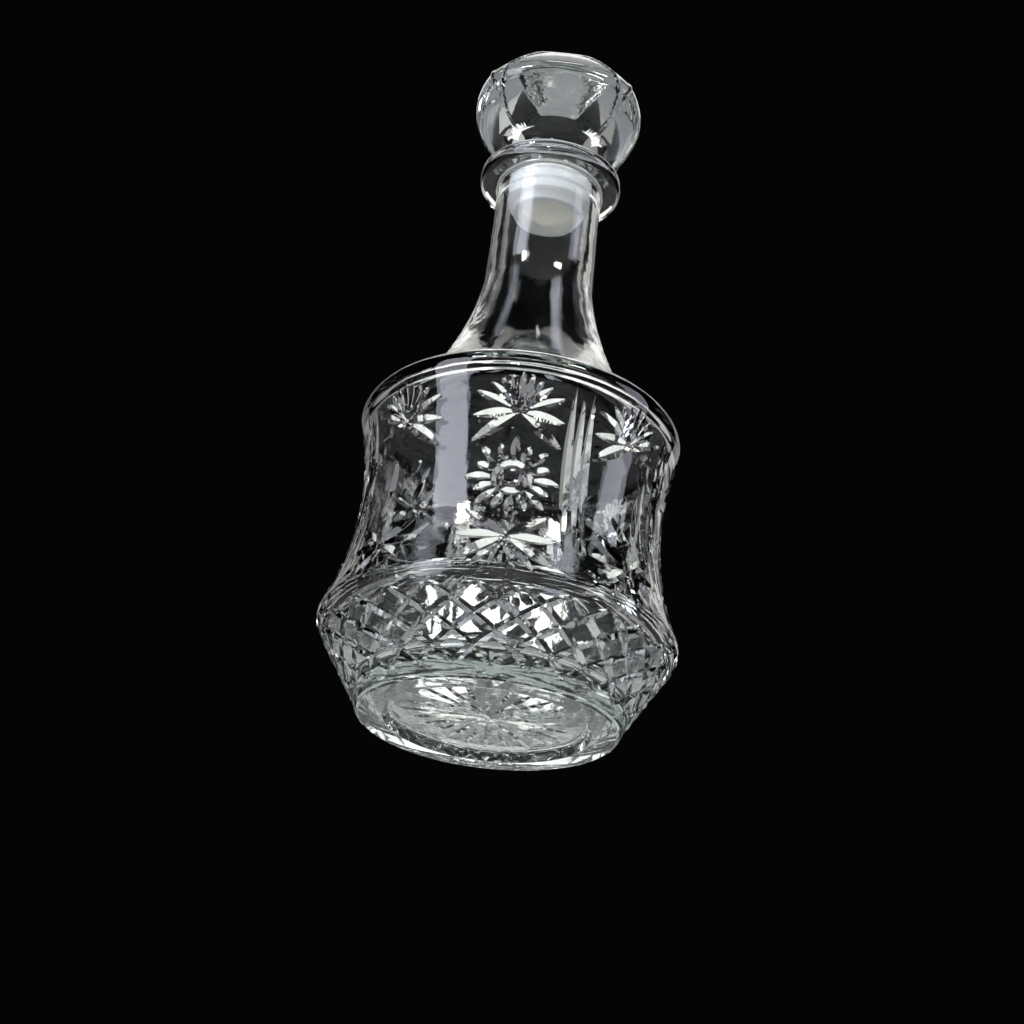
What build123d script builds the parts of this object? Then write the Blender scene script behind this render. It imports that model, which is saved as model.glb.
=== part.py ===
from build123d import *
import os
from math import degrees, hypot, sqrt

# Cut-glass decanter with a lift-out stopper, in millimetres.
# +Z is up, and the origin is at the centre of the resting plane under the foot.

# ---- Decanter: outside radii -------------------------------------------------
foot_radius = 41.2          # outer edge of the foot ring
foot_top_radius = 43.4      # where the foot ring meets the cut cone
recess_radius = 31.2        # hollow inside the foot ring
hip_radius = 58.2           # sharp corner that the hip rim is rounded from
waist_radius = 49.4         # narrowest place of the panelled body
shoulder_radius = 54.8      # sharp corner that the shoulder is rounded from
flare_radius = 41.0         # foot of the neck flare, on the shoulder
throat_radius = 19.0        # where the flare turns into the neck
neck_radius = 18.5          # neck just below the lip
lip_stand = 6.7             # how far the ring round the mouth stands out from the neck

# ---- Decanter: heights, each one a stretch above the last --------------------
foot_height = 4.6
cone_height = 23.8
waist_rise = 46.6           # hip corner to waist
shoulder_rise = 29.4        # waist to shoulder corner
shoulder_drop_in = 7.0      # shoulder corner to foot of the flare
flare_height = 51.8
flare_sweep = 3.8           # how far the flare's curve hollows in from a straight cone
neck_height = 40.0
lip_thickness = 6.4

# ---- Decanter: walls ---------------------------------------------------------
recess_depth = 3.2          # hollow under the foot
recess_slope = 1.8          # how much wider that hollow is at the resting plane
base_thickness = 9.0        # glass between that hollow and the floor inside
cone_wall = 6.0             # all walls are measured level, from the outside radius
body_wall = 4.4
flare_wall = 2.6
throat_blend = 6.0          # height over which the wall thickens at the throat
bore_radius = 14.8          # inside of the neck, from the throat to the mouth

# ---- Decanter: roundings -----------------------------------------------------
foot_round = 1.6
hip_round = 4.0
shoulder_round = 6.0
flare_round = 1.6
throat_round = 60.0         # outside, where the flare runs into the neck
throat_inside_round = 15.0
recess_round = 1.2
inside_round = 6.0
lip_round = 2.6
lip_blend = 1.8             # under the lip ring

# ---- Long upright cuts between the panels ------------------------------------
panels = 8
plain_pillars = (3, 7)      # the two pillars left smooth, on opposite sides
cuts_per_pillar = 3
cut_spacing = 3.1
cut_width = 3.0
cut_depth = 1.2
cut_end_gap = 8.0           # from each end of the panelled body
wheel_edge = 4.0            # the cutting edge's size, as so many cut depths

# ---- Stopper sleeve: one ribbed cup of soft plastic --------------------------
fit_clearance = 0.05        # radial, sleeve in bore and peg in sleeve
rib_count = 3
rib_height = 3.0
rib_groove = 1.5
rib_groove_depth = 0.9
nose_inset = 2.4            # plain end below the ribs, smaller than the bore by this
nose_height = 3.6
nose_wall = 2.6             # round the hollow in the underside
cup_recess_depth = 4.0
cup_floor = 1.8
rim_overhang = 1.6          # top rim, beyond the bore, which sits in a counterbore in the lip
rim_thickness = 1.4
rim_clearance = 0.3
rim_stand = 0.3             # the rim stands this far above the lip
sleeve_wall = 3.8           # between the bore and the peg

# ---- Stopper head: one piece of glass ----------------------------------------
collar_inset = 1.8          # in from the edge of the sleeve's rim, where the collar stands on it
collar_height = 11.1        # up to the ball
collar_top_radius = 17.8
collar_sweep = 1.6          # how far the collar's side hollows in
skirt_radius = 20.4         # lower edge of the ball
ball_radius = 32.8          # sharp corner that the ball's widest place is rounded from
ball_rise = 16.2            # skirt to widest
ball_low_sweep = 2.3        # how far the ball bellies out, below and above its widest
ball_high_sweep = 2.0
ball_round = 9.0
crown_radius = 13.0         # flat top of the ball
crown_rise = 18.2           # widest to flat top
crown_round = 1.2
peg_gap = 0.4               # end of the peg above the cup floor
scallops = 4
scallop_offset = 16.0       # how far each scallop's own centre lies beyond the ball's
scallop_bite = 1.9          # depth at the widest place of the ball
scallop_bite_skirt = 2.5
crown_clear = 0.5           # the scallops' curve passes this far outside the crown's edge

# ---- Places worked out from the sizes above ----------------------------------
lip_radius = neck_radius + lip_stand
rim_radius = bore_radius + rim_overhang
rib_radius = bore_radius - fit_clearance
peg_bore_radius = bore_radius - sleeve_wall
peg_radius = peg_bore_radius - fit_clearance
nose_radius = bore_radius - nose_inset
cup_recess_radius = nose_radius - nose_wall
collar_radius = rim_radius - collar_inset
foot_top_z = foot_height
hip_z = foot_top_z + cone_height
waist_z = hip_z + waist_rise
shoulder_z = waist_z + shoulder_rise
flare_z = shoulder_z + shoulder_drop_in
throat_z = flare_z + flare_height
lip_low_z = throat_z + neck_height
lip_z = lip_low_z + lip_thickness
floor_z = recess_depth + base_thickness
rim_seat_z = lip_z - (rim_thickness - rim_stand)
sleeve_top_z = lip_z + rim_stand
ribs_length = rib_count * (rib_height + rib_groove)
sleeve_low_z = rim_seat_z - ribs_length - nose_height
cup_floor_z = sleeve_low_z + cup_recess_depth + cup_floor
skirt_z = sleeve_top_z + collar_height
widest_z = skirt_z + ball_rise
crown_z = widest_z + crown_rise


STANDING = (Align.CENTER, Align.CENTER, Align.MIN)


def bowed(low, high, sweep):
    """An arc from low to high that bows by sweep, to the left of the way from low to high."""
    across = (high[0] - low[0], high[1] - low[1])
    length = hypot(*across)
    middle = ((low[0] + high[0]) / 2, (low[1] + high[1]) / 2)
    middle = (middle[0] - sweep * across[1] / length, middle[1] + sweep * across[0] / length)
    return ThreePointArc(low, middle, high)


def outline(*edges):
    """A flat face of (radius, height) edges."""
    return make_face(list(edges))


def rounded(face, corner, radius):
    """Rounds the corner of a flat outline that lies at the given (radius, height) place."""
    place = Vector(corner[0], corner[1], 0)
    vertex = min(face.vertices(), key=lambda v: (Vector(v.X, v.Y, v.Z) - place).length)
    return fillet(vertex, radius)


def turned(face):
    """The solid that a (radius, height) outline sweeps out about the upright axis."""
    return revolve(Plane.XZ * face, Axis.Z, 360)


def standing(radius, low, high):
    """An upright cylinder from one height to another."""
    return Pos(0, 0, low) * Cylinder(radius, high - low, align=STANDING)


# ---- Decanter ----------------------------------------------------------------
def waist_arc():
    """The curve of the panelled body from hip to shoulder."""
    return ThreePointArc((hip_radius, hip_z), (waist_radius, waist_z), (shoulder_radius, shoulder_z))


def decanter_outside():
    foot = (foot_radius, 0)
    foot_top = (foot_top_radius, foot_top_z)
    hip = (hip_radius, hip_z)
    shoulder = (shoulder_radius, shoulder_z)
    flare = (flare_radius, flare_z)
    throat = (throat_radius, throat_z)
    neck_top = (neck_radius, lip_low_z)
    lip_low = (lip_radius, lip_low_z)
    lip_high = (lip_radius, lip_z)
    face = outline(
        Polyline((0, 0), foot, foot_top, hip),
        waist_arc(),
        Line(shoulder, flare),
        bowed(flare, throat, flare_sweep),
        Polyline(throat, neck_top, lip_low, lip_high, (0, lip_z), (0, 0)),
    )
    face = rounded(face, foot, foot_round)
    face = rounded(face, hip, hip_round)
    face = rounded(face, shoulder, shoulder_round)
    face = rounded(face, flare, flare_round)
    face = rounded(face, throat, throat_round)
    face = rounded(face, neck_top, lip_blend)
    face = rounded(face, lip_low, lip_round)
    face = rounded(face, lip_high, lip_round)
    return turned(face)


def decanter_inside():
    """The hollow inside, open through the neck, with a counterbore in the lip for the stopper's rim."""
    floor = (foot_top_radius - cone_wall, floor_z)
    hip = (hip_radius - cone_wall, hip_z)
    shoulder = (shoulder_radius - body_wall, shoulder_z - flare_wall)
    flare = (flare_radius - flare_wall, flare_z - flare_wall)
    throat = (throat_radius - flare_wall, throat_z - throat_blend)
    bore_low = (bore_radius, throat_z)
    above = lip_z + lip_thickness
    face = outline(
        Polyline((0, floor_z), floor, hip),
        ThreePointArc(hip, (waist_radius - body_wall, waist_z), shoulder),
        Line(shoulder, flare),
        bowed(flare, throat, flare_sweep),
        Polyline(throat, bore_low, (bore_radius, above), (0, above), (0, floor_z)),
    )
    face = rounded(face, floor, inside_round)
    face = rounded(face, hip, inside_round)
    face = rounded(face, shoulder, inside_round)
    face = rounded(face, flare, flare_round)
    face = rounded(face, throat, throat_inside_round)
    face = rounded(face, bore_low, throat_inside_round)
    return turned(face) + standing(rim_radius + rim_clearance, rim_seat_z, above)


def foot_recess():
    """The shallow dish under the foot, with a sloping side."""
    mouth = recess_radius + recess_slope
    below = -recess_depth
    corner = (recess_radius, recess_depth)
    face = outline(Polyline((0, below), (mouth, below), (mouth, 0), corner, (0, recess_depth), (0, below)))
    return turned(rounded(face, corner, recess_round))


def upright_cut():
    """A long leaf-shaped cut facing +X: a V-edged wheel run into the waist, deepest half-way up."""
    surface = waist_arc()
    centre = surface.arc_center

    def glass_at(height):
        return centre.X - sqrt(surface.radius**2 - (height - centre.Y) ** 2)

    low = hip_z + cut_end_gap
    high = shoulder_z - cut_end_gap
    middle = (low + high) / 2
    bottom = ThreePointArc((glass_at(low), low), (glass_at(middle) - cut_depth, middle), (glass_at(high), high))
    hub = bottom.arc_center
    tip = hub.X - bottom.radius
    back = tip + wheel_edge * cut_depth
    half = wheel_edge * cut_width / 2
    edge = make_face(Polyline((tip, 0), (back, -half), (back, half), (tip, 0)))
    return revolve(Pos(0, 0, hub.Y) * edge, Axis((hub.X, 0, hub.Y), (0, 1, 0)), 360)


def pillar_cuts():
    """The cuts of every cut pillar. Pillar 0 is half a panel towards +X from the -Y side."""
    cut = upright_cut()
    step = degrees(cut_spacing / waist_radius)
    placed = []
    for pillar in range(panels):
        if pillar in plain_pillars:
            continue
        pillar_angle = (pillar + 0.5) * 360 / panels - 90
        for place in range(cuts_per_pillar):
            offset = (place - (cuts_per_pillar - 1) / 2) * step
            placed.append(Rot(0, 0, pillar_angle + offset) * cut)
    return placed


def decanter_body():
    glass = decanter_outside() - decanter_inside() - foot_recess()
    for cut in pillar_cuts():
        glass -= cut
    return glass


# ---- Stopper sleeve ----------------------------------------------------------
def stopper_sleeve():
    """Ribbed cup: a nose, ribs that grip the bore, and a rim that sits in the lip."""
    nose_top = sleeve_low_z + nose_height
    sleeve = standing(nose_radius, sleeve_low_z, nose_top)
    sleeve += standing(rib_radius - rib_groove_depth, nose_top, rim_seat_z)
    for rib in range(rib_count):
        low = nose_top + rib * (rib_height + rib_groove)
        sleeve += standing(rib_radius, low, low + rib_height)
    sleeve += standing(rim_radius, rim_seat_z, sleeve_top_z)
    sleeve -= standing(peg_bore_radius, cup_floor_z, sleeve_top_z)
    sleeve -= standing(cup_recess_radius, sleeve_low_z, sleeve_low_z + cup_recess_depth)
    return sleeve


# ---- Stopper head ------------------------------------------------------------
def ball(offset=0.0, skirt_bite=0.0, bite=0.0, crown_bite=0.0):
    """The stopper's ball, or a scallop's larger one: moved out by offset and in by the bites."""
    skirt = (skirt_radius + offset - skirt_bite, skirt_z)
    widest = (ball_radius + offset - bite, widest_z)
    crown = (crown_radius + offset - crown_bite, crown_z)
    face = outline(
        Line((0, skirt_z), skirt),
        bowed(skirt, widest, -ball_low_sweep),
        bowed(widest, crown, -ball_high_sweep),
        Polyline(crown, (0, crown_z), (0, skirt_z)),
    )
    face = rounded(face, widest, ball_round)
    return turned(face if offset else rounded(face, crown, crown_round))


def stopper_head():
    """Ball with broad scallops that meet in narrow ribs, on a waisted collar and a peg."""
    head = ball()
    scallop = ball(scallop_offset, scallop_bite_skirt, scallop_bite, -crown_clear)
    for place in range(scallops):
        head &= Rot(0, 0, place * 360 / scallops) * Pos(-scallop_offset, 0, 0) * scallop
    foot = (collar_radius, sleeve_top_z)
    top = (collar_top_radius, skirt_z)
    collar = outline(
        Line((0, sleeve_top_z), foot),
        bowed(foot, top, collar_sweep),
        Polyline(top, (0, skirt_z), (0, sleeve_top_z)),
    )
    peg = standing(peg_radius, cup_floor_z + peg_gap, sleeve_top_z)
    return head + turned(collar) + peg


os.makedirs("parts", exist_ok=True)
for name, make in {
    "decanter_body": decanter_body,
    "stopper_sleeve": stopper_sleeve,
    "stopper_head": stopper_head,
}.items():
    piece = make()
    export_step(piece, f"parts/{name}.step")

print("brimful litres:", round(decanter_inside().volume / 1e6, 3))
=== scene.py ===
from math import acos, atan2, cos, hypot, pi, radians, sin, tan

import bpy
import numpy as np
from mathutils import Matrix, Vector


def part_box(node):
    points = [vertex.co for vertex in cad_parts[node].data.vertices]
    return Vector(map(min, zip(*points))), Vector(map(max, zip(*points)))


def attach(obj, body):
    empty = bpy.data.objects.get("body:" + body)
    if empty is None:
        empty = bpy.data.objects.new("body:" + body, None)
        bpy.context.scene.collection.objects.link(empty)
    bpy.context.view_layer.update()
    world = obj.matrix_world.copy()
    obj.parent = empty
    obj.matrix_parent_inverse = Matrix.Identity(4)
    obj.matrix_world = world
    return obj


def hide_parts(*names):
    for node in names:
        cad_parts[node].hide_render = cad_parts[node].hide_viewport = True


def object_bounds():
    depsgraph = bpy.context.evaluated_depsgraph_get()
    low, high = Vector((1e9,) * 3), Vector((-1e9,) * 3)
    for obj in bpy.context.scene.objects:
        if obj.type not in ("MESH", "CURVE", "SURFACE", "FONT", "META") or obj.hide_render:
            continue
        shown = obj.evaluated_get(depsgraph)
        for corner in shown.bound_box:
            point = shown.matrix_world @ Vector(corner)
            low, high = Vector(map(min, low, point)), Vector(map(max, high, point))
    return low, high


# Cut-glass decanter with a lift-out stopper: the looks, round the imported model.
# Outlines are in millimetres, as (radius, height), and become metres in add_piece().
# Angles round the axis are in degrees, 0 facing -Y and growing towards +X.
# Lights and the camera are in metres.

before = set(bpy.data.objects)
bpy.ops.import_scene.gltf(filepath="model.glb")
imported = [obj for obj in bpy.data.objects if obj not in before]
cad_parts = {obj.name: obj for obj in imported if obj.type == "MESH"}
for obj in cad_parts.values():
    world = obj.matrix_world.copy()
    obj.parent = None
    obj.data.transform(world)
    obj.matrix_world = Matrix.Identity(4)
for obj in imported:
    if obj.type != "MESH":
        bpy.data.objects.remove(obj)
cad_low, cad_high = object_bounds()

MM = 0.001

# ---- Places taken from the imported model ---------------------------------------
_, body_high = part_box("decanter_body")
sleeve_low, sleeve_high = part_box("stopper_sleeve")
head_low, head_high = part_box("stopper_head")

lip_z = body_high.z / MM
hip_reach = body_high.x / MM
sleeve_low_z = sleeve_low.z / MM
sleeve_top_z = sleeve_high.z / MM
rim_radius = sleeve_high.x / MM
crown_z = head_high.z / MM
peg_low_z = head_low.z / MM

# ---- Decanter: sizes of the glass -------------------------------------------
foot_radius = 41.2
foot_top_radius = 43.4
recess_radius = 31.2
recess_slope = 1.8
recess_depth = 3.2
hip_radius = hip_reach + 0.5        # the corner before hip_round takes it back to the box
waist_radius = 49.4
shoulder_radius = 54.8
flare_radius = 41.0
throat_radius = 19.0
neck_radius = 18.5
lip_radius = 25.2
bore_radius = 14.8
foot_top_z = 4.6
hip_z = 28.4
waist_z = 75.0
shoulder_z = 104.4
flare_z = 111.4
flare_sweep = 3.8
throat_z = 163.2
throat_inside_z = throat_z + 2.0
flare_inside_sweep = 4.4
lip_low_z = lip_z - 6.4
rim_thickness = 1.4
rim_clearance = 0.3
rim_seat_z = sleeve_top_z - rim_thickness
floor_z = 12.2
cone_wall = 6.0
body_wall = 4.4
flare_wall = 2.6

# ---- Decanter: roundings of its corners ---------------------------------------
recess_round = 1.2
mouth_round = 0.4
foot_round = 1.6
foot_top_round = 0.8
hip_round = 4.0
shoulder_round = 6.0
flare_round = 1.6
throat_round = 60.0
lip_under_round = 1.8
lip_round = 2.6
seat_rounds = (0.3, 0.15, 0.25)
inside_round = 6.0

# ---- Cut pattern ---------------------------------------------------------------
panels = 8
rosette_panels = (0, 2, 4, 6)
three_leaf_panels = (3, 7)          # the other odd panels have two loose leaves
plain_pillars = (3, 7)
pillar_flutes = (-3.1, 0, 3.1)      # across the pillar, from its middle
pillar_margin = 8.0                 # flutes stop this far from the hip and the shoulder
star_top_z = 84.8
star_low_z = 40.7
rosette_z = 62.0
lattice_grooves = 24                # in each of the two slanting families
lattice_rise = 4.12                 # from one row of crossings to the next
lattice_first_z = 4.0               # a row of crossings lies at this height
lattice_top_z = 24.4
sunburst_rays = 24
flat_margin = 2.5                   # of the foot's flat ring, taken with the cut outside
dish_margin = 1.6                   # of the dish, taken with the foot
flare_margin = 3.0                  # of the shoulder's slope, taken with the neck

# ---- Stopper -------------------------------------------------------------------
peg_radius = 10.95
cup_clearance = 0.05                # between the peg and the cup of the sleeve
cup_depth_clearance = 0.4
nose_radius = 12.4
nose_height = 3.6
hollow_radius = 9.8
hollow_depth = 4.0
rib_radius = bore_radius - 0.05
groove_radius = rib_radius - 0.9
ribs = 3
rib_height = 3.0
rib_pitch = 4.5
collar_radius = 14.6
collar_top_radius = 17.8
collar_sweep = 1.6
skirt_radius = 20.4
ball_radius = 32.8
ball_round = 9.0
crown_radius = 13.0
crown_round = 1.2
skirt_z = sleeve_top_z + 11.1
widest_z = skirt_z + 16.2
ball_low_sweep = 2.3
ball_high_sweep = 2.0
scallops = 4
scallop_offset = 10.5
scallop_bite = 1.9
scallop_bite_skirt = 2.5
crown_clear = 0.5
bead_height = 0.45          # fine raised thread along each scallop's edge
bead_reach = 0.9

# ---- Mesh fineness: columns round the axis, and millimetres along an outline ----
fine_columns = 360
plain_columns = 120
disc_columns = 180
row_step = 0.85
dish_step = 0.9
outline_step = 0.6
seat_step = 0.4
sleeve_step = 1.0
plain_step = 2.0
crease_angle = radians(9)


# ==== Outlines ==================================================================
def arc_points(low, middle, high, step):
    """Points along the arc through three (radius, height) points."""
    (ax, ay), (bx, by), (cx, cy) = low, middle, high
    twist = 2 * (ax * (by - cy) + bx * (cy - ay) + cx * (ay - by))
    aa, bb, cc = ax * ax + ay * ay, bx * bx + by * by, cx * cx + cy * cy
    centre_x = (aa * (by - cy) + bb * (cy - ay) + cc * (ay - by)) / twist
    centre_y = (aa * (cx - bx) + bb * (ax - cx) + cc * (bx - ax)) / twist
    radius = hypot(ax - centre_x, ay - centre_y)
    start = atan2(ay - centre_y, ax - centre_x)
    turn = atan2(cy - centre_y, cx - centre_x) - start
    turn = (turn + pi) % (2 * pi) - pi
    count = max(2, int(radius * abs(turn) / step) + 1)
    angles = [start + turn * i / count for i in range(count + 1)]
    return [(centre_x + radius * cos(angle), centre_y + radius * sin(angle)) for angle in angles]


def line_points(low, high, step):
    """Points along the straight line from low to high."""
    count = max(1, int(hypot(high[0] - low[0], high[1] - low[1]) / step))
    return [
        (low[0] + (high[0] - low[0]) * i / count, low[1] + (high[1] - low[1]) * i / count)
        for i in range(count + 1)
    ]


def bowed_points(low, high, sweep, step):
    """An arc that bows by sweep to the left of the way from low to high."""
    dx, dy = high[0] - low[0], high[1] - low[1]
    length = hypot(dx, dy)
    middle = ((low[0] + high[0]) / 2 - sweep * dy / length, (low[1] + high[1]) / 2 + sweep * dx / length)
    return arc_points(low, middle, high, step)


def cut_back(points, length):
    """points without their last stretch of that length, ending exactly there."""
    kept = list(points)
    while True:
        (ax, ay), (bx, by) = kept[-2], kept[-1]
        span = hypot(bx - ax, by - ay)
        if span > length:
            share = length / span
            kept[-1] = (bx + (ax - bx) * share, by + (ay - by) * share)
            return kept
        length -= span
        kept.pop()


def join_rounded(before, after, radius):
    """Two runs of points that meet at a corner, with a rounding between them."""
    corner = before[-1]
    into = (before[-1][0] - before[-2][0], before[-1][1] - before[-2][1])
    out = (after[1][0] - after[0][0], after[1][1] - after[0][1])
    scale_in, scale_out = hypot(*into), hypot(*out)
    into = (into[0] / scale_in, into[1] / scale_in)
    out = (out[0] / scale_out, out[1] / scale_out)
    turn = acos(max(-1.0, min(1.0, into[0] * out[0] + into[1] * out[1])))
    nearly_straight, bend_step = radians(3), radians(6)
    if radius <= 0 or turn < nearly_straight:
        return before + after[1:]
    back = radius * tan(turn / 2)
    before = cut_back(before, back)
    after = cut_back(after[::-1], back)[::-1]
    start, end = before[-1], after[0]
    # a cubic curve that lies close to an arc of that radius
    reach = 4 / 3 * tan(turn / 4) * radius
    pull_a = (start[0] + into[0] * reach, start[1] + into[1] * reach)
    pull_b = (end[0] - out[0] * reach, end[1] - out[1] * reach)
    count = max(3, int(turn / bend_step))
    bend = []
    for i in range(1, count):
        t = i / count
        w = ((1 - t) ** 3, 3 * t * (1 - t) ** 2, 3 * t * t * (1 - t), t**3)
        bend.append(tuple(
            w[0] * start[k] + w[1] * pull_a[k] + w[2] * pull_b[k] + w[3] * end[k] for k in (0, 1)
        ))
    return before + bend + after


def chain(runs, roundings):
    """Joins runs of points end to end; roundings[i] rounds the corner after run i."""
    whole = list(runs[0])
    for run, radius in zip(runs[1:], roundings):
        whole = join_rounded(whole, list(run), radius)
    return whole


def resampled(points, step):
    """The same outline with evenly spaced points."""
    points = np.array(points)
    lengths = np.concatenate([[0], np.cumsum(np.hypot(*np.diff(points, axis=0).T))])
    count = max(2, int(lengths[-1] / step))
    at = np.linspace(0, lengths[-1], count + 1)
    return np.column_stack([np.interp(at, lengths, points[:, k]) for k in (0, 1)])


# ==== Cuts ======================================================================
class Cuts:
    """Wheel cuts in a turned surface. Each one is a leaf-shaped V groove, a ring-shaped V groove or a
    round dimple; a label names a cut and its side, and 0 is uncut glass."""

    def __init__(self):
        self.rows = []

    def add(self, angle, height, lean, half_length, half_width, depth, scale, power=2.0, ring=0.0, dot=0.0):
        """lean is in degrees clockwise from up. scale is the radius that turns angles into millimetres,
        and 0 takes each point's own. A high power gives blunt ends. ring is the radius of a ring-shaped
        groove, and dot marks a dimple of radius half_length."""
        lean = radians(lean)
        self.rows.append((angle, height, lean, half_length, half_width, depth, scale, power, ring, dot))

    def ray(self, angle, height, lean, start, end, half_width, depth, scale):
        """A leaf that runs outwards from a star's centre, from one distance to another."""
        middle = (start + end) / 2
        x = middle * sin(radians(lean))
        y = middle * cos(radians(lean))
        self.add(angle + x / scale * 180 / pi, height + y, lean, (end - start) / 2, half_width, depth, scale)

    def freeze(self):
        """Turns the rows into arrays, once every cut has been added."""
        table = np.array(self.rows).T
        self.angle, self.height, self.lean, self.length, self.width = table[:5]
        self.depth, self.scale, self.power, self.ring, self.dot = table[5:]

    def local(self, cut, angle, height, radius):
        """How far each point lies along and across each cut."""
        scale = np.where(self.scale[cut] > 0, self.scale[cut], radius)
        turn = (angle - self.angle[cut] + 180) % 360 - 180
        x = turn * pi / 180 * scale
        y = height - self.height[cut]
        lean_sin, lean_cos = np.sin(self.lean[cut]), np.cos(self.lean[cut])
        along = x * lean_sin + y * lean_cos
        across = x * lean_cos - y * lean_sin
        reach = np.hypot(x, y)
        ringed, dotted = self.ring[cut] > 0, self.dot[cut] > 0
        across = np.where(ringed, reach - self.ring[cut], np.where(dotted, 0, across))
        along = np.where(ringed, 0, np.where(dotted, reach, along))
        return along, across

    def value(self, label, angle, height, radius):
        """How deep that side of that cut would lie, as if the cut had only that side."""
        cut = np.maximum(label - 1, 0) // 2
        side = np.where(label % 2 == 1, -1.0, 1.0)
        along, across = self.local(cut, angle, height, radius)
        crest = self.depth[cut] * (1 - (np.abs(along) / self.length[cut]) ** self.power[cut])
        deep = crest - side * across * self.depth[cut] / self.width[cut]
        return np.where(label > 0, deep, 0.0)

    def best(self, angle, height, radius):
        """The label and the depth of the deepest cut at each point."""
        label = np.zeros(angle.shape, int)
        depth = np.zeros(angle.shape)
        for cut in range(len(self.rows)):
            extent = max(self.length[cut], self.ring[cut]) + self.width[cut]
            near = np.abs(height - self.height[cut]) < extent
            turn = (angle - self.angle[cut] + 180) % 360 - 180
            span = np.where(self.scale[cut] > 0, self.scale[cut], np.maximum(radius, 1e-6))
            near &= np.abs(turn) * pi / 180 * span < extent
            where = np.nonzero(near)[0]
            along, across = self.local(np.full(where.shape, cut), angle[where], height[where], radius[where])
            crest = self.depth[cut] * (1 - (np.abs(along) / self.length[cut]) ** self.power[cut])
            deep = crest - np.abs(across) * self.depth[cut] / self.width[cut]
            better = deep > depth[where]
            chosen = where[better]
            depth[chosen] = deep[better]
            label[chosen] = 2 * cut + 1 + (across[better] > 0)
        return label, depth


class Scallops:
    """Broad hollows round the stopper's ball: each is the ball's own curve, larger and set off-centre."""

    def __init__(self, ball, scallop):
        self.ball = np.array(ball)
        self.scallop = np.array(scallop)

    def value(self, label, angle, height, radius):
        """How deep each point of the ball lies in that scallop."""
        turn = radians(360 / scallops) * (label - 1) - np.radians(angle)
        own = np.interp(height, self.scallop[:, 1], self.scallop[:, 0])
        inside = np.maximum(own**2 - (scallop_offset * np.sin(turn)) ** 2, 0)
        reach = np.sqrt(inside) - scallop_offset * np.cos(turn)
        return np.where(label > 0, radius - reach, 0.0)

    def best(self, angle, height, radius):
        """The scallop that cuts each point, and how deep, less the raised thread along its edge."""
        label, deep = self.deepest(angle, height, radius)
        turn_nudge, height_nudge, gentlest = 0.3, 0.2, 0.05
        _, turned = self.deepest(angle + turn_nudge, height, radius)
        lifted_radius = np.interp(height + height_nudge, self.ball[:, 1], self.ball[:, 0])
        _, lifted = self.deepest(angle, height + height_nudge, lifted_radius)
        across = (turned - deep) / (radians(turn_nudge) * radius)
        upwards = (lifted - deep) / height_nudge
        away = np.abs(deep) / np.maximum(np.hypot(across, upwards), gentlest)
        bead = bead_height * np.maximum(0, 1 - (away / bead_reach) ** 2)
        # the thread dies out under the crown and above the skirt
        crown_gap, crown_fade, skirt_fade = 2.5, 4.0, 2.0
        bead *= np.clip((crown_z - crown_gap - height) / crown_fade, 0, 1)
        bead *= np.clip((height - skirt_z) / skirt_fade, 0, 1)
        return np.where(deep > 0, label, 0), np.maximum(deep, 0) - bead

    def deepest(self, angle, height, radius):
        """The scallop that reaches deepest at each point, and by how much it is below the ball."""
        deep = np.stack([
            self.value(np.full(angle.shape, number), angle, height, radius)
            for number in range(1, scallops + 1)
        ])
        return deep.argmax(axis=0) + 1, deep.max(axis=0)


# ==== Turned surfaces ===========================================================
def halved_squares(rows, columns):
    """The (row, column) corners of two triangles for each square of a grid, leaning the other way on
    every second one."""
    row, column = np.divmod(np.arange((rows - 1) * columns), columns)
    corner = np.stack([
        np.stack([row, column], -1),
        np.stack([row, column + 1], -1),
        np.stack([row + 1, column + 1], -1),
        np.stack([row + 1, column], -1),
    ], axis=1)
    even = (row + column) % 2 == 0
    return np.where(
        even[:, None, None, None],
        corner[:, [[0, 1, 2], [0, 2, 3]]],
        corner[:, [[0, 1, 3], [1, 2, 3]]],
    ).reshape(-1, 3, 2)


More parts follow.
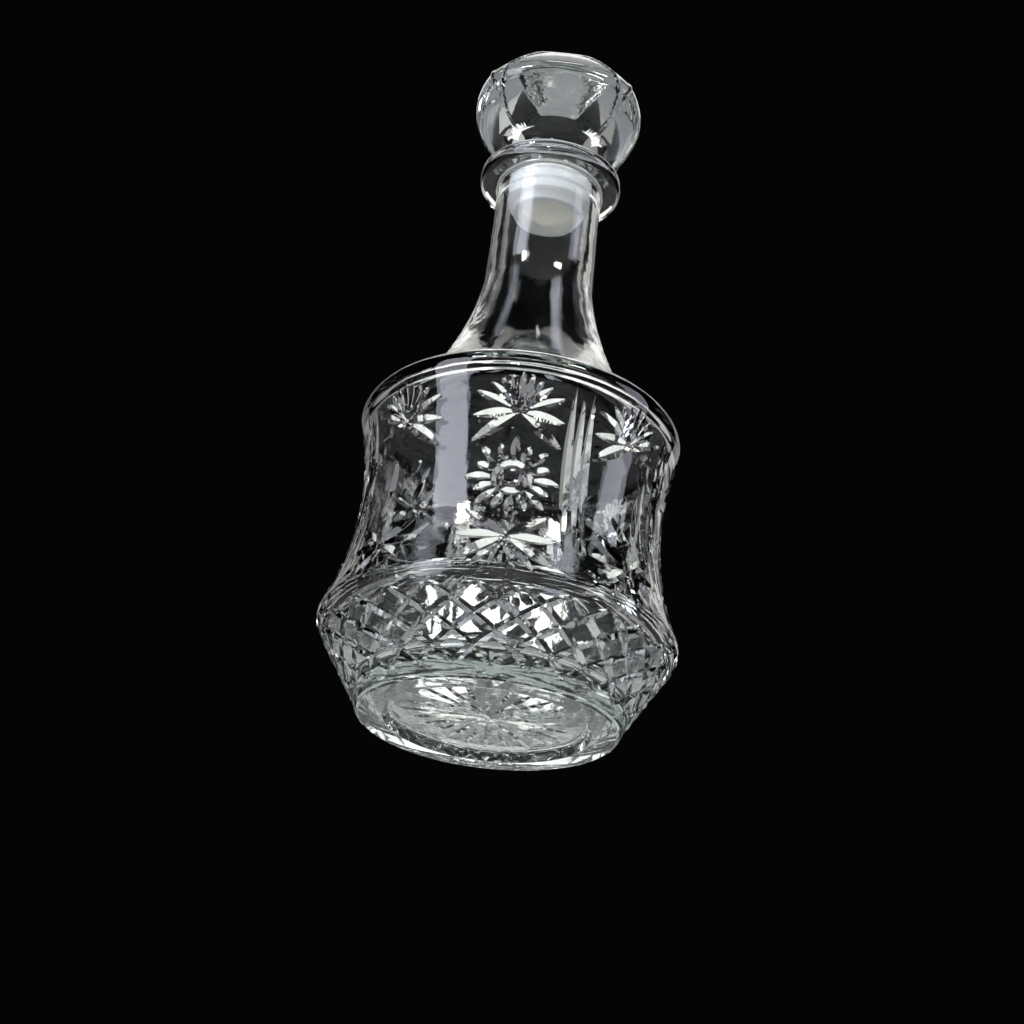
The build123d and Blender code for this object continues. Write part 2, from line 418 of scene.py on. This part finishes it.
class Turned:
    """Gathers the rings and triangles of one closed piece, in order along its outline from pole to pole."""

    def __init__(self):
        self.points = []
        self.faces = []
        self.count = 0
        self.last = None

    def add_points(self, points):
        """Adds the points and gives the number of the first one."""
        first = self.count
        self.points.append(points)
        self.count += len(points)
        return first

    def ring(self, radius, height, columns):
        turn = np.arange(columns) * 2 * pi / columns
        points = np.column_stack([radius * np.sin(turn), -radius * np.cos(turn), np.full(columns, height)])
        return self.add_points(points)

    def pole(self, height):
        """A point on the axis, which closes the surface at either end."""
        tip = self.add_points(np.array([[0.0, 0.0, height]]))
        if self.last is not None:
            first, columns = self.last
            self.faces.append([(first + i, first + (i + 1) % columns, tip) for i in range(columns)])
        self.last = (tip, 1)

    def connect(self, first, columns):
        """Triangles between the last ring and a new one, whatever their counts."""
        if self.last is not None:
            low, low_count = self.last
            if low_count == 1:
                self.faces.append([(low, first + (i + 1) % columns, first + i) for i in range(columns)])
            elif low_count == columns:
                self.faces.append([
                    face
                    for i in range(columns)
                    for face in (
                        (low + i, low + (i + 1) % columns, first + (i + 1) % columns),
                        (low + i, first + (i + 1) % columns, first + i),
                    )
                ])
            else:
                self.faces.append(self.zipped(low, low_count, first, columns))
        self.last = (first, columns)

    def zipped(self, low, low_count, high, high_count):
        """Triangles between two rings with different numbers of points."""
        faces = []
        i = j = 0
        while i < low_count or j < high_count:
            if j == high_count or (i < low_count and (i + 1) / low_count <= (j + 1) / high_count):
                faces.append((low + i % low_count, low + (i + 1) % low_count, high + j % high_count))
                i += 1
            else:
                faces.append((low + i % low_count, high + (j + 1) % high_count, high + j % high_count))
                j += 1
        return faces

    def plain(self, outline, columns=plain_columns):
        """Smooth rings along an outline of (radius, height) points."""
        for radius, height in outline:
            self.connect(self.ring(radius, height, columns), columns)

    def patterned(self, outline, columns, pattern):
        """Rings along an outline with a pattern cut into them, and an edge of the mesh along each crease."""
        outline = np.array(outline)
        rows = len(outline)
        run = np.arange(rows, dtype=float)
        slope = np.gradient(outline, axis=0)
        slope /= np.hypot(slope[:, 0], slope[:, 1])[:, None]
        normal = np.column_stack([slope[:, 1], -slope[:, 0]])

        def place(angle, row):
            radius = np.interp(row, run, outline[:, 0])
            height = np.interp(row, run, outline[:, 1])
            label, depth = pattern.best(angle, height, radius)
            radius = radius - depth * np.interp(row, run, normal[:, 0])
            height = height - depth * np.interp(row, run, normal[:, 1])
            turn = np.radians(angle)
            return label, np.column_stack([radius * np.sin(turn), -radius * np.cos(turn), height])

        def value(label, angle, row):
            radius = np.interp(row, run, outline[:, 0])
            height = np.interp(row, run, outline[:, 1])
            return pattern.value(label, angle, height, radius)

        step = 360 / columns
        grid_row, grid_column = np.divmod(np.arange(rows * columns), columns)
        grid_angle = grid_column * step
        label, points = place(grid_angle, grid_row.astype(float))

        split = halved_squares(rows, columns)
        index = split[..., 0] * columns + split[..., 1] % columns
        angle = split[..., 1] * step
        height = split[..., 0].astype(float)
        own = label[index]

        # a triangle stays whole if its corners all lie on one side of one cut, or all on uncut glass
        kinds = 1 + (own[:, 1] != own[:, 0]) + ((own[:, 2] != own[:, 0]) & (own[:, 2] != own[:, 1]))
        whole = index[kinds == 1]
        faces = [whole]
        extra_angle, extra_row = [], []
        edge_point = {}
        start = rows * columns
        nearest, farthest = 0.04, 0.96      # a crossing keeps this share of the edge off the corners

        def crossing(a, b):
            """The new point between two corners where one cut's side gives way to the other's."""
            key = (min(a[0], b[0]), max(a[0], b[0]))
            if key not in edge_point:
                labels = np.array([a[3], b[3]])
                at_a = value(labels, np.full(2, a[1]), np.full(2, a[2]))
                at_b = value(labels, np.full(2, b[1]), np.full(2, b[2]))
                gap_a, gap_b = at_a[0] - at_a[1], at_b[0] - at_b[1]
                share = 0.5 if abs(gap_a - gap_b) < 1e-9 else gap_a / (gap_a - gap_b)
                share = min(farthest, max(nearest, share))
                extra_angle.append(a[1] + (b[1] - a[1]) * share)
                extra_row.append(a[2] + (b[2] - a[2]) * share)
                edge_point[key] = start + len(extra_angle) - 1
            return edge_point[key]

        # the others are divided where the sides meet; a corner is (point, angle, row, label)
        pieces = []
        for t in np.nonzero(kinds > 1)[0]:
            corners = [(index[t, k], angle[t, k], height[t, k], own[t, k]) for k in range(3)]
            if kinds[t] == 2:
                odd = 2 if own[t, 0] == own[t, 1] else (1 if own[t, 0] == own[t, 2] else 0)
                a, b, c = corners[odd], corners[(odd + 1) % 3], corners[(odd + 2) % 3]
                p, q = crossing(a, b), crossing(a, c)
                pieces += [(a[0], p, q), (p, b[0], c[0]), (p, c[0], q)]
            else:
                a, b, c = corners
                p, q, r = crossing(a, b), crossing(b, c), crossing(c, a)
                extra_angle.append((a[1] + b[1] + c[1]) / 3)
                extra_row.append((a[2] + b[2] + c[2]) / 3)
                m = start + len(extra_angle) - 1
                border = (a[0], p, b[0], q, c[0], r)
                pieces += [(border[k], border[(k + 1) % 6], m) for k in range(6)]
        if pieces:
            faces.append(np.array(pieces))
            _, more = place(np.array(extra_angle), np.array(extra_row))
            points = np.vstack([points, more])
        first = self.add_points(points)
        self.connect(first, columns)
        self.faces.append(np.vstack(faces) + first)
        self.last = (first + (rows - 1) * columns, columns)


def add_piece(name, shape, material, body, node):
    """Makes the piece from a Turned shape, in place of its CAD node."""
    points = np.vstack(shape.points) * MM
    faces = np.vstack([np.array(part) for part in shape.faces])
    mesh = bpy.data.meshes.new(name)
    mesh.from_pydata(points.tolist(), [], faces.tolist())
    mesh.validate()
    mesh.polygons.foreach_set("use_smooth", np.ones(len(mesh.polygons), bool))
    mesh.set_sharp_from_angle(angle=crease_angle)
    mesh.materials.append(material)
    piece = bpy.data.objects.new(name, mesh)
    bpy.context.scene.collection.objects.link(piece)
    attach(piece, body)
    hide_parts(node)


# ==== Decanter ==================================================================
# (lean from up, length, half width) of a star's arms, the same on both sides
upper_arms = ((45, 13.4, 1.55), (65, 15.8, 1.4), (97, 15.0, 1.65), (127, 18.0, 2.05))
lower_arms = ((54, 15.4, 1.8), (91, 15.2, 1.75), (127, 17.4, 2.0), (147, 15.5, 1.45))
upper_fan = (0, 15, -15, 30, -30)
lower_fan = (165, -165, 180)


def star(cuts, angle, height, arms, fan):
    """A long-armed star with a fan of short leaves, above or below it."""
    arm_start = -1.2                # the arms run through the star's centre
    depth_share = 0.62
    for side in (-1, 1):
        for lean, length, half_width in arms:
            depth = depth_share * half_width
            cuts.ray(angle, height, side * lean, arm_start, length, half_width, depth, waist_radius)
    fan_start, fan_end, fan_half_width, fan_depth = 3.0, 13.0, 1.1, 0.7
    for lean in fan:
        cuts.ray(angle, height, lean, fan_start, fan_end, fan_half_width, fan_depth, waist_radius)


def rosette(cuts, angle):
    """A dimple in a ring, with sixteen petals round it, long and short by turns."""
    dimple_radius, dimple_depth = 3.2, 1.2
    ring_radius, ring_half_width, groove_depth = 4.9, 1.4, 0.95
    petals, petal_half_width = 16, 1.5
    petal_start, long_end, short_end = 6.0, 14.6, 12.6
    unused = 1.0                    # a dimple has no width, and a ring no length
    cuts.add(angle, rosette_z, 0, dimple_radius, unused, dimple_depth, waist_radius, dot=1)
    cuts.add(angle, rosette_z, 0, unused, ring_half_width, groove_depth, waist_radius, ring=ring_radius)
    for petal in range(petals):
        lean = 360 / petals * petal
        end = long_end if petal % 2 == 0 else short_end
        cuts.ray(angle, rosette_z, lean, petal_start, end, petal_half_width, groove_depth, waist_radius)


def loose_leaf(cuts, angle, low, high):
    """A single leaf between two (across, height) points."""
    half_width, depth = 1.5, 0.9
    dx, dy = high[0] - low[0], high[1] - low[1]
    x, y = (low[0] + high[0]) / 2, (low[1] + high[1]) / 2
    lean = atan2(dx, dy) * 180 / pi
    turn = x / waist_radius * 180 / pi
    cuts.add(angle + turn, y, lean, hypot(dx, dy) / 2, half_width, depth, waist_radius)


def lattice(cuts):
    """Two families of slanting grooves round the cone, which leave diamonds between them."""
    half_width, depth, blunt_ends = 1.25, 0.85, 12.0
    pitch = 360 / lattice_grooves
    scale = (foot_top_radius + hip_radius) / 2
    low, high = foot_top_z - 1.0, lattice_top_z
    lean = atan2(pitch / 2 * pi / 180 * scale, lattice_rise) * 180 / pi
    half = (high - low) / 2 / cos(radians(lean))
    middle = (low + high) / 2
    shift = (middle - lattice_first_z) / lattice_rise * pitch / 2
    for groove in range(lattice_grooves):
        for side in (-1, 1):
            turn = groove * pitch + side * shift
            cuts.add(turn, middle, side * lean, half, half_width, depth, scale, power=blunt_ends)


def body_cuts():
    """Stars, rosettes, loose leaves and flutes round the body, and the lattice round the cone."""
    flute_half_width, flute_depth = 1.55, 1.2
    cuts = Cuts()
    for panel in range(panels):
        angle = panel * 360 / panels
        star(cuts, angle, star_top_z, upper_arms, upper_fan)
        star(cuts, angle, star_low_z, lower_arms, lower_fan)
        if panel in rosette_panels:
            rosette(cuts, angle)
        elif panel in three_leaf_panels:
            loose_leaf(cuts, angle, (3.4, 63.8), (8.4, 69.6))
            loose_leaf(cuts, angle, (7.8, 54.2), (10.8, 62.6))
            loose_leaf(cuts, angle, (-2.5, 58.4), (-2.6, 72.4))
        else:
            loose_leaf(cuts, angle, (-6.0, 58.0), (-0.6, 51.2))
            loose_leaf(cuts, angle, (3.9, 53.2), (7.0, 70.8))
    low, high = hip_z + pillar_margin, shoulder_z - pillar_margin
    middle, half = (low + high) / 2, (high - low) / 2
    for pillar in range(panels):
        if pillar in plain_pillars:
            continue
        angle = (pillar + 0.5) * 360 / panels
        for across in pillar_flutes:
            turn = across / waist_radius * 180 / pi
            cuts.add(angle + turn, middle, 0, half, flute_half_width, flute_depth, waist_radius)
    lattice(cuts)
    cuts.freeze()
    return cuts


def base_cuts():
    """A sunburst under the foot, whose rays start near the middle and further out by turns."""
    long_start, short_start, end = 3.0, 12.0, 28.5
    half_width, depth = 1.1, 0.4
    cuts = Cuts()
    for ray in range(sunburst_rays):
        start = long_start if ray % 2 == 0 else short_start
        turn = ray * 360 / sunburst_rays
        cuts.add(turn, (start + end) / 2, 0, (end - start) / 2, half_width, depth, 0)
    cuts.freeze()
    return cuts


class DiscCuts:
    """Cuts in a level disc: the place along a ray is its radius."""

    def __init__(self, cuts):
        self.cuts = cuts

    def value(self, label, angle, height, radius):
        return self.cuts.value(label, angle, radius, radius)

    def best(self, angle, height, radius):
        return self.cuts.best(angle, radius, radius)


def foot_outline():
    """The edge of the dish under the foot and most of the flat ring round it."""
    edge = (recess_radius, recess_depth)
    mouth = (recess_radius + recess_slope, 0)
    runs = [
        line_points((recess_radius - dish_margin, recess_depth), edge, outline_step),
        line_points(edge, mouth, outline_step),
        line_points(mouth, (foot_radius - flat_margin, 0), plain_step),
    ]
    return chain(runs, (recess_round, mouth_round))


def outside_outline():
    """From the flat ring up the cone and the body, over the shoulder, to just short of the flare."""
    hip = (hip_radius, hip_z)
    shoulder = (shoulder_radius, shoulder_z)
    runs = [
        line_points((foot_radius - flat_margin, 0), (foot_radius, 0), outline_step),
        line_points((foot_radius, 0), (foot_top_radius, foot_top_z), outline_step),
        line_points((foot_top_radius, foot_top_z), hip, outline_step),
        arc_points(hip, (waist_radius, waist_z), shoulder, outline_step),
        line_points(shoulder, (flare_radius, flare_z), outline_step),
    ]
    return cut_back(chain(runs, (foot_round, foot_top_round, hip_round, shoulder_round)), flare_margin)


def neck_outline(start):
    """Flare, neck and lip outside, then the sleeve's seat, the bore and the hollow inside."""
    flare = (flare_radius, flare_z)
    throat = (throat_radius, throat_z)
    seat_radius = rim_radius + rim_clearance
    bore_low = (bore_radius, throat_inside_z)
    flare_inside = (flare_radius - flare_wall, flare_z - flare_wall)
    shoulder_inside = (shoulder_radius - body_wall, shoulder_z - flare_wall)
    hip_inside = (hip_radius - cone_wall, hip_z)
    floor_edge = (foot_top_radius - cone_wall, floor_z)
    floor_middle = (2.0, floor_z)
    runs = [
        [start, flare],
        bowed_points(flare, throat, flare_sweep, plain_step),
        line_points(throat, (neck_radius, lip_low_z), plain_step),
        line_points((neck_radius, lip_low_z), (lip_radius, lip_low_z), plain_step),
        line_points((lip_radius, lip_low_z), (lip_radius, lip_z), plain_step),
        line_points((lip_radius, lip_z), (seat_radius, lip_z), plain_step),
        line_points((seat_radius, lip_z), (seat_radius, rim_seat_z), seat_step),
        line_points((seat_radius, rim_seat_z), (bore_radius, rim_seat_z), seat_step),
        line_points((bore_radius, rim_seat_z), bore_low, plain_step),
        bowed_points(bore_low, flare_inside, -flare_inside_sweep, plain_step),
        line_points(flare_inside, shoulder_inside, plain_step),
        arc_points(shoulder_inside, (waist_radius - body_wall, waist_z), hip_inside, plain_step),
        line_points(hip_inside, floor_edge, plain_step),
        line_points(floor_edge, floor_middle, plain_step),
    ]
    outside_rounds = (flare_round, throat_round, lip_under_round, lip_round, lip_round)
    inside_rounds = (throat_round, inside_round, inside_round, inside_round, inside_round)
    return chain(runs, outside_rounds + seat_rounds + inside_rounds)


def decanter_shape():
    """The whole surface, from the middle of the dish out, up the outside and down the hollow."""
    dish_middle = (1.5, recess_depth)
    dish = line_points(dish_middle, (recess_radius - dish_margin, recess_depth), outline_step)
    outside = outside_outline()
    shape = Turned()
    shape.pole(recess_depth)
    shape.patterned(resampled(dish, dish_step), disc_columns, DiscCuts(base_cuts()))
    shape.plain(foot_outline()[1:-1], disc_columns)
    shape.patterned(resampled(outside, row_step), fine_columns, body_cuts())
    shape.plain(neck_outline(outside[-1])[1:])
    shape.pole(floor_z)
    return shape


# ==== Stopper ===================================================================
def sleeve_shape():
    """Ribbed cup of soft plastic, with every moulded edge slightly rounded."""
    hollow_top = sleeve_low_z + hollow_depth
    nose_top = sleeve_low_z + nose_height
    cup_floor_z = peg_low_z - cup_depth_clearance
    cup_radius = peg_radius + cup_clearance
    corners = [(hollow_radius, hollow_top), (hollow_radius, sleeve_low_z)]
    rounds = [0.8, 0.6]
    corners += [(nose_radius, sleeve_low_z), (nose_radius, nose_top)]
    rounds += [0.7, 0.3]
    for rib in range(ribs):
        low = nose_top + rib * rib_pitch
        high = low + rib_height
        corners += [(rib_radius, low), (rib_radius, high)]
        corners += [(groove_radius, high), (groove_radius, low + rib_pitch)]
        rounds += [0.45, 0.45, 0.3, 0.3]
    corners += [(rim_radius, rim_seat_z), (rim_radius, sleeve_top_z), (cup_radius, sleeve_top_z)]
    rounds += [0.3, 0.5, 0.3]
    corners += [(cup_radius, cup_floor_z)]
    rounds += [0.5]
    middle_radius = 1.0
    path = [(middle_radius, hollow_top)] + corners + [(middle_radius, cup_floor_z)]
    runs = [line_points(a, b, sleeve_step) for a, b in zip(path, path[1:])]
    shape = Turned()
    shape.pole(hollow_top)
    shape.plain(chain(runs, rounds))
    shape.pole(cup_floor_z)
    return shape


def head_shape():
    """Peg, waisted collar and scalloped ball."""
    step, peg_step, ledge_step, collar_step = 0.5, 1.5, 1.0, 0.8
    peg_rounds = (0.5, 0, 0.3)
    low_ball = bowed_points((skirt_radius, skirt_z), (ball_radius, widest_z), -ball_low_sweep, step)
    high_ball = bowed_points((ball_radius, widest_z), (crown_radius, crown_z), -ball_high_sweep, step)
    ball = join_rounded(low_ball, high_ball, ball_round)
    crown_middle = (3.0, crown_z)
    ball = join_rounded(ball, line_points((crown_radius, crown_z), crown_middle, step), crown_round)
    big = scallop_offset
    widest = (ball_radius + big - scallop_bite, widest_z)
    scallop = join_rounded(
        bowed_points((skirt_radius + big - scallop_bite_skirt, skirt_z), widest, -ball_low_sweep, step),
        bowed_points(widest, (crown_radius + big + crown_clear, crown_z), -ball_high_sweep, step),
        ball_round,
    )
    peg_middle = (1.0, peg_low_z)
    collar_low, collar_high = (collar_radius, sleeve_top_z), (collar_top_radius, skirt_z)
    peg = chain(
        [
            line_points(peg_middle, (peg_radius, peg_low_z), peg_step),
            line_points((peg_radius, peg_low_z), (peg_radius, sleeve_top_z), peg_step),
            line_points((peg_radius, sleeve_top_z), collar_low, ledge_step),
            bowed_points(collar_low, collar_high, collar_sweep, collar_step),
        ],
        peg_rounds,
    )
    shape = Turned()
    shape.pole(peg_low_z)
    shape.plain(peg)
    shape.patterned(ball, fine_columns, Scallops(ball, scallop))
    shape.pole(crown_z)
    return shape


# ==== Materials =================================================================
def new_material(name):
    material = bpy.data.materials.new(name)
    material.use_nodes = True
    tree = material.node_tree
    tree.nodes.clear()
    return material, tree


def node(tree, kind, **values):
    """A new node, with each named value put on the input or the property of that name."""
    made = tree.nodes.new(kind)
    for name, value in values.items():
        if name in made.inputs:
            made.inputs[name].default_value = value
        else:
            setattr(made, name, value)
    return made


def glass(name, tint, depth_tint, depth_density, roughness):
    """Clear glass: slightly uneven from the mould, faintly hazed where hands and shelves have rubbed it."""
    haze_rise, streak_shade, shadow_shade = 0.07, 0.97, 0.94
    material, tree = new_material(name)
    link = tree.links.new
    coords = node(tree, "ShaderNodeTexCoord")
    shader = node(tree, "ShaderNodeBsdfPrincipled")
    shader.inputs["Transmission Weight"].default_value = 1.0
    shader.inputs["IOR"].default_value = 1.52

    haze = node(tree, "ShaderNodeTexNoise", Scale=38.0, Detail=4.0, Roughness=0.6)
    haze_map = node(tree, "ShaderNodeMapRange")
    haze_map.inputs["From Min"].default_value = 0.45
    haze_map.inputs["From Max"].default_value = 0.8
    haze_map.inputs["To Min"].default_value = roughness
    haze_map.inputs["To Max"].default_value = roughness + haze_rise
    link(coords.outputs["Object"], haze.inputs["Vector"])
    link(haze.outputs["Fac"], haze_map.inputs["Value"])
    link(haze_map.outputs["Result"], shader.inputs["Roughness"])

    colour = node(tree, "ShaderNodeTexNoise", Scale=12.0, Detail=2.0)
    ramp = node(tree, "ShaderNodeValToRGB")
    ramp.color_ramp.elements[0].position = 0.3
    ramp.color_ramp.elements[0].color = (*[channel * streak_shade for channel in tint], 1)
    ramp.color_ramp.elements[1].position = 0.75
    ramp.color_ramp.elements[1].color = (*tint, 1)
    link(coords.outputs["Object"], colour.inputs["Vector"])
    link(colour.outputs["Fac"], ramp.inputs["Fac"])
    link(ramp.outputs["Color"], shader.inputs["Base Color"])

    swell = node(tree, "ShaderNodeTexNoise", Scale=70.0, Detail=2.0)
    fine = node(tree, "ShaderNodeTexNoise", Scale=420.0, Detail=3.0)
    add = node(tree, "ShaderNodeMath", operation="MULTIPLY_ADD")
    add.inputs[1].default_value = 0.12
    bump = node(tree, "ShaderNodeBump", Strength=0.12, Distance=0.0015)
    link(coords.outputs["Object"], swell.inputs["Vector"])
    link(coords.outputs["Object"], fine.inputs["Vector"])
    link(fine.outputs["Fac"], add.inputs[0])
    link(swell.outputs["Fac"], add.inputs[2])
    link(add.outputs["Value"], bump.inputs["Height"])
    link(bump.outputs["Normal"], shader.inputs["Normal"])

    # shadow rays go straight through, so that the glass throws a light shadow
    through = node(tree, "ShaderNodeBsdfTransparent")
    through.inputs["Color"].default_value = (*[channel * shadow_shade for channel in tint], 1)
    path = node(tree, "ShaderNodeLightPath")
    mix = node(tree, "ShaderNodeMixShader")
    link(path.outputs["Is Shadow Ray"], mix.inputs["Fac"])
    link(shader.outputs["BSDF"], mix.inputs[1])
    link(through.outputs["BSDF"], mix.inputs[2])
    output = node(tree, "ShaderNodeOutputMaterial")
    link(mix.outputs["Shader"], output.inputs["Surface"])
    absorb = node(tree, "ShaderNodeVolumeAbsorption")
    absorb.inputs["Color"].default_value = (*depth_tint, 1)
    absorb.inputs["Density"].default_value = depth_density
    link(absorb.outputs["Volume"], output.inputs["Volume"])
    return material


def sleeve_plastic():
    """Milky polyethylene, painted creamier and brighter inside the hollow of its nose, as a glow of light
    shining through the peg and the cup's floor.
    """
    material, tree = new_material("sleeve_plastic")
    link = tree.links.new
    coords = node(tree, "ShaderNodeTexCoord")
    shader = node(tree, "ShaderNodeBsdfPrincipled")
    shader.inputs["Subsurface Weight"].default_value = 0.7
    shader.inputs["Subsurface Radius"].default_value = (1.0, 0.9, 0.8)
    shader.inputs["Subsurface Scale"].default_value = 0.020

    split = node(tree, "ShaderNodeSeparateXYZ")
    link(coords.outputs["Object"], split.inputs["Vector"])
    flat = node(tree, "ShaderNodeCombineXYZ")
    link(split.outputs["X"], flat.inputs["X"])
    link(split.outputs["Y"], flat.inputs["Y"])
    reach = node(tree, "ShaderNodeVectorMath", operation="LENGTH")
    link(flat.outputs["Vector"], reach.inputs[0])
    # painted glow: this mask picks out the hollow of the nose, where a warmer, brighter colour stands in for
    # light shining through
    painted_glow_mask = node(tree, "ShaderNodeMapRange")
    painted_glow_mask.inputs["From Min"].default_value = (hollow_radius - 1.3) * MM
    painted_glow_mask.inputs["From Max"].default_value = (hollow_radius + 1.4) * MM
    link(reach.outputs["Value"], painted_glow_mask.inputs["Value"])
    cloud = node(tree, "ShaderNodeTexNoise", Scale=160.0, Detail=3.0)
    link(coords.outputs["Object"], cloud.inputs["Vector"])
    body = node(tree, "ShaderNodeValToRGB")
    body.color_ramp.elements[0].position = 0.35
    body.color_ramp.elements[0].color = (0.84, 0.84, 0.90, 1)
    body.color_ramp.elements[1].position = 0.7
    body.color_ramp.elements[1].color = (0.93, 0.92, 0.97, 1)
    link(cloud.outputs["Fac"], body.inputs["Fac"])
    tone = node(tree, "ShaderNodeMix", data_type="RGBA")
    # the painted glow's colour, warmer and brighter than the milky plastic round it
    tone.inputs["A"].default_value = (1.0, 0.94, 0.80, 1)
    link(painted_glow_mask.outputs["Result"], tone.inputs["Factor"])
    link(body.outputs["Color"], tone.inputs["B"])
    link(tone.outputs["Result"], shader.inputs["Base Color"])

    rough = node(tree, "ShaderNodeMapRange")
    rough.inputs["To Min"].default_value = 0.32
    rough.inputs["To Max"].default_value = 0.5
    link(cloud.outputs["Fac"], rough.inputs["Value"])
    link(rough.outputs["Result"], shader.inputs["Roughness"])
    grain = node(tree, "ShaderNodeTexNoise", Scale=900.0, Detail=2.0)
    link(coords.outputs["Object"], grain.inputs["Vector"])
    bump = node(tree, "ShaderNodeBump", Strength=0.15, Distance=0.0002)
    link(grain.outputs["Fac"], bump.inputs["Height"])
    link(bump.outputs["Normal"], shader.inputs["Normal"])
    output = node(tree, "ShaderNodeOutputMaterial")
    link(shader.outputs["BSDF"], output.inputs["Surface"])
    return material


# ==== Stage =====================================================================
def one_sided_floor():
    """Pale matt floor, shown only from above, so that a camera below it sees the object's underside."""
    material, tree = new_material("floor_pale")
    link = tree.links.new
    matt = node(tree, "ShaderNodeBsdfDiffuse")
    matt.inputs["Color"].default_value = (0.5, 0.5, 0.51, 1)
    clear = node(tree, "ShaderNodeBsdfTransparent")
    side = node(tree, "ShaderNodeNewGeometry")
    mix = node(tree, "ShaderNodeMixShader")
    link(side.outputs["Backfacing"], mix.inputs["Fac"])
    link(matt.outputs["BSDF"], mix.inputs[1])
    link(clear.outputs["BSDF"], mix.inputs[2])
    output = node(tree, "ShaderNodeOutputMaterial")
    link(mix.outputs["Shader"], output.inputs["Surface"])
    return material


def floor():
    """A round floor, a hair under the foot."""
    radius = 2.4
    below = 0.0002
    sides = 96
    mesh = bpy.data.meshes.new("floor")
    points = [
        (radius * cos(2 * pi * i / sides), radius * sin(2 * pi * i / sides), -below) for i in range(sides)
    ]
    mesh.from_pydata(points, [], [tuple(range(sides))])
    mesh.materials.append(one_sided_floor())
    made = bpy.data.objects.new("floor", mesh)
    bpy.context.scene.collection.objects.link(made)


def panel_light(name, place, target, width, height, radiance, colour):
    """A soft box that faces a place. Its power follows from how bright its face is and its size."""
    light = bpy.data.lights.new(name, "AREA")
    light.shape = "RECTANGLE"
    light.size = width
    light.size_y = height
    light.energy = radiance * pi * width * height
    light.color = colour
    made = bpy.data.objects.new(name, light)
    bpy.context.scene.collection.objects.link(made)
    made.location = place
    made.rotation_mode = "QUATERNION"
    made.rotation_quaternion = (Vector(target) - Vector(place)).to_track_quat("-Z", "Y")
    made.visible_camera = False


def around(turn, lift, distance):
    """A place round the object: turn is from -Y towards +X, and lift is above the level."""
    turn, lift = radians(turn), radians(lift)
    away = Vector((sin(turn) * cos(lift), -cos(turn) * cos(lift), sin(lift)))
    return (cad_low + cad_high) / 2 + distance * away


def lights():
    """Soft boxes in front for reflections, and a frame of them behind, outside the view, for the cuts."""
    middle = (cad_low + cad_high) / 2
    foot = (0, 0, 0)
    white = (1.0, 0.99, 0.97)
    violet = (0.86, 0.87, 1.0)
    # each with its place, target, width, height, how bright its face is, and colour
    panel_light("left_strip", around(-49.5, 20, 1.0), middle, 0.4, 0.8, 4.5, violet)
    panel_light("left_high", around(-38, 44, 1.0), middle, 0.14, 0.1, 32.0, white)
    panel_light("right_box", around(80, 22, 1.0), middle, 0.35, 0.6, 2.5, violet)
    panel_light("right_high", around(40, 47, 1.0), middle, 0.17, 0.09, 32.0, white)
    panel_light("front_spot", around(-8, 5, 0.75), middle, 0.07, 0.07, 30.0, white)
    panel_light("top_box", (0.05, 0.25, 1.1), middle, 0.6, 0.6, 0.8, white)
    panel_light("behind_left", around(180 + 36, 24, 1.0), middle, 0.36, 0.7, 0.3, white)
    panel_light("behind_right", around(180 - 36, 24, 1.0), middle, 0.36, 0.7, 0.6, white)
    panel_light("behind_above", around(180, 57, 1.0), middle, 0.9, 0.45, 1.2, white)
    panel_light("behind_low", around(180, 3, 1.0), middle, 0.9, 0.16, 0.12, white)
    panel_light("behind_foot", (-0.02, 0.6, 0.195), foot, 0.11, 0.11, 1.7, white)


def surroundings():
    """A nearly black room, shown without any tone curve, as dark-field glass is."""
    world = bpy.data.worlds.new("studio")
    world.use_nodes = True
    world.node_tree.nodes["Background"].inputs["Color"].default_value = (0.0015, 0.0015, 0.0017, 1)
    bpy.context.scene.world = world
    bpy.context.scene.view_settings.view_transform = "Standard"


def camera():
    """At the photograph's viewing angle: low in front, looking up, and rolled."""
    distance, drop = 0.5575, 0.2006     # from the axis, and under the foot
    pitch = radians(26.31)
    roll = radians(6.71)
    azimuth = radians(1.4)
    ahead = Vector((0, cos(pitch), sin(pitch)))
    level = Vector((1, 0, 0))
    over = level.cross(ahead)
    right = cos(roll) * level + sin(roll) * over
    up = -sin(roll) * level + cos(roll) * over
    turned = Matrix((right, up, -ahead)).transposed().to_4x4()
    data = bpy.data.cameras.new("camera")
    data.lens = 66.5
    data.sensor_width = 36.0
    data.clip_start = 0.01
    made = bpy.data.objects.new("camera", data)
    bpy.context.scene.collection.objects.link(made)
    place = Matrix.Translation(Vector((0, -distance, -drop)))
    made.matrix_world = Matrix.Rotation(azimuth, 4, "Z") @ place @ turned
    bpy.context.scene.camera = made


camera()
lights()
surroundings()
floor()

clear_glass = glass("clear_glass", (0.97, 0.985, 0.975), (0.60, 0.78, 0.67), 6.0, 0.01)
stopper_glass = glass("stopper_glass", (0.98, 0.985, 0.985), (0.70, 0.82, 0.76), 6.0, 0.01)
milky_plastic = sleeve_plastic()

add_piece("decanter_glass", decanter_shape(), clear_glass, "decanter", "decanter_body")
add_piece("stopper_cup", sleeve_shape(), milky_plastic, "stopper", "stopper_sleeve")
add_piece("stopper_ball", head_shape(), stopper_glass, "stopper_ball", "stopper_head")
